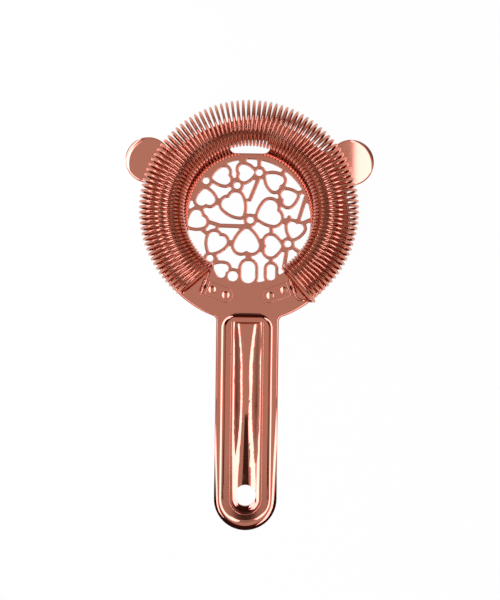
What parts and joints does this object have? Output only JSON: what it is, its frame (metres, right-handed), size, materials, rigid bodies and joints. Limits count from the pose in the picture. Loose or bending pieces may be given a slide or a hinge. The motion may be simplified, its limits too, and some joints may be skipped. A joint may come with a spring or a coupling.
{
  "type": "hawthorne strainer",
  "caption": "Flat pierced bar strainer with two ears, a long handle with a hanging hole, and a coil spring clipped round the disc to hold ice back in a tin.",
  "frame": {"origin": "middle of the strainer's length and width, on the back face of the sheet", "axes": "+Z out of the sheet on the spring's side, +Y from the handle towards the ears, +X to the right"},
  "size_m": [0.1038, 0.1772, 0.0213],
  "materials": {
    "polished_copper_sheet": "stainless steel sheet, copper plated and mirror polished",
    "polished_copper_strip": "copper plated steel strip, mirror polished",
    "copper_plated_wire": "round spring steel wire, copper plated"
  },
  "bodies": {
    "strainer": {"strainer_plate": "polished_copper_sheet", "spring_clip_left": "polished_copper_strip", "spring_clip_right": "polished_copper_strip", "spring_end_left": "copper_plated_wire", "spring_end_right": "copper_plated_wire"},
    "spring_ends": {"end_windings_left": "copper_plated_wire", "end_windings_right": "copper_plated_wire"},
    "spring": {"coil_spring_1": "copper_plated_wire", "coil_spring_2": "copper_plated_wire", "coil_spring_3": "copper_plated_wire", "coil_spring_4": "copper_plated_wire", "coil_spring_5": "copper_plated_wire", "coil_spring_6": "copper_plated_wire", "coil_spring_7": "copper_plated_wire", "coil_spring_8": "copper_plated_wire"}
  },
  "joints": [
    {"name": "spring_lift", "type": "hinge", "parent": "strainer", "child": "spring_ends", "pos_m": [0.00127, 0.01311, 0.0026], "axis": [0.9843, -0.1763, 0], "range_deg": [0, 12], "stiffness_Nm_per_rad": 0.3},
    {"name": "spring_press", "type": "slide", "parent": "spring_ends", "child": "spring", "axis": [0, -1, 0], "range_m": [0, 0.005], "stiffness_N_per_m": 1500, "deforming": ["coil_spring_1", "coil_spring_2", "coil_spring_3", "coil_spring_4", "coil_spring_5", "coil_spring_6", "coil_spring_7", "coil_spring_8"]}
  ]
}
